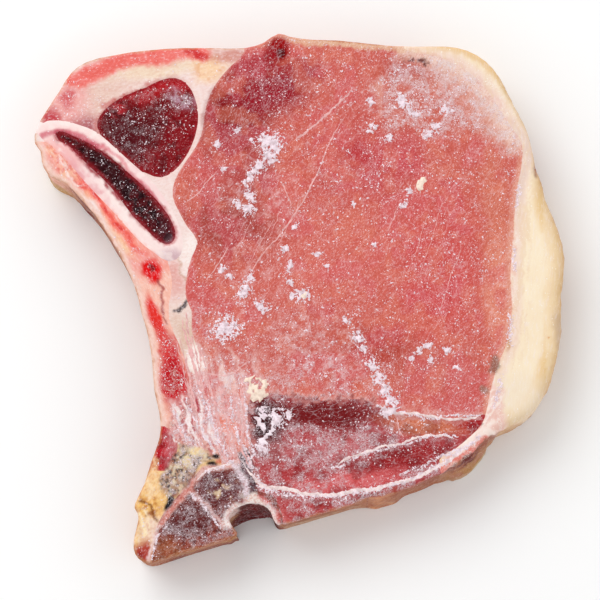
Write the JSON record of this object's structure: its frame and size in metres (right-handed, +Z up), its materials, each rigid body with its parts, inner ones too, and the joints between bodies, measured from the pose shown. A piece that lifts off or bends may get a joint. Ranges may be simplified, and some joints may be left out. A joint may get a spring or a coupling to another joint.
{
  "type": "raw pork chop",
  "caption": "Raw bone-in pork loin chop, a flat slice with a rib, a curved backbone piece, dark and pale muscles and a thick rim of back fat.",
  "frame": {"origin": "centre of the underside of the chop's box, at the height of the surface it lies on", "axes": "+Z up through the thickness, +X towards the back fat, +Y from the backbone towards the far edge of the eye"},
  "size_m": [0.1407, 0.1414, 0.018],
  "materials": {
    "loin_eye": "moist raw muscle, lightly frosted",
    "back_fat": "smooth cream fat",
    "cap_muscle": "dark raw muscle, frosted",
    "tenderloin": "dark raw muscle, frosted",
    "flank_strip": "thin dark raw muscle",
    "side_muscle": "dark red raw muscle",
    "rib_bone": "sawn pinkish white bone",
    "rib_marrow": "nearly black frozen marrow",
    "rib_strip": "salmon meat with red streaks",
    "chine_bone": "sawn spongy bone, frosted",
    "seam_fat": "pinkish white fat and gristle",
    "side_fat": "yellow fat"
  },
  "bodies": {
    "root": {"loin_eye": "loin_eye", "back_fat": "back_fat", "cap_muscle": "cap_muscle", "tenderloin": "tenderloin", "flank_strip": "flank_strip", "side_muscle": "side_muscle", "rib_bone": "rib_bone", "rib_marrow": "rib_marrow", "rib_strip": "rib_strip", "chine_bone": "chine_bone", "seam_fat": "seam_fat", "side_fat": "side_fat"}
  },
  "joints": []
}
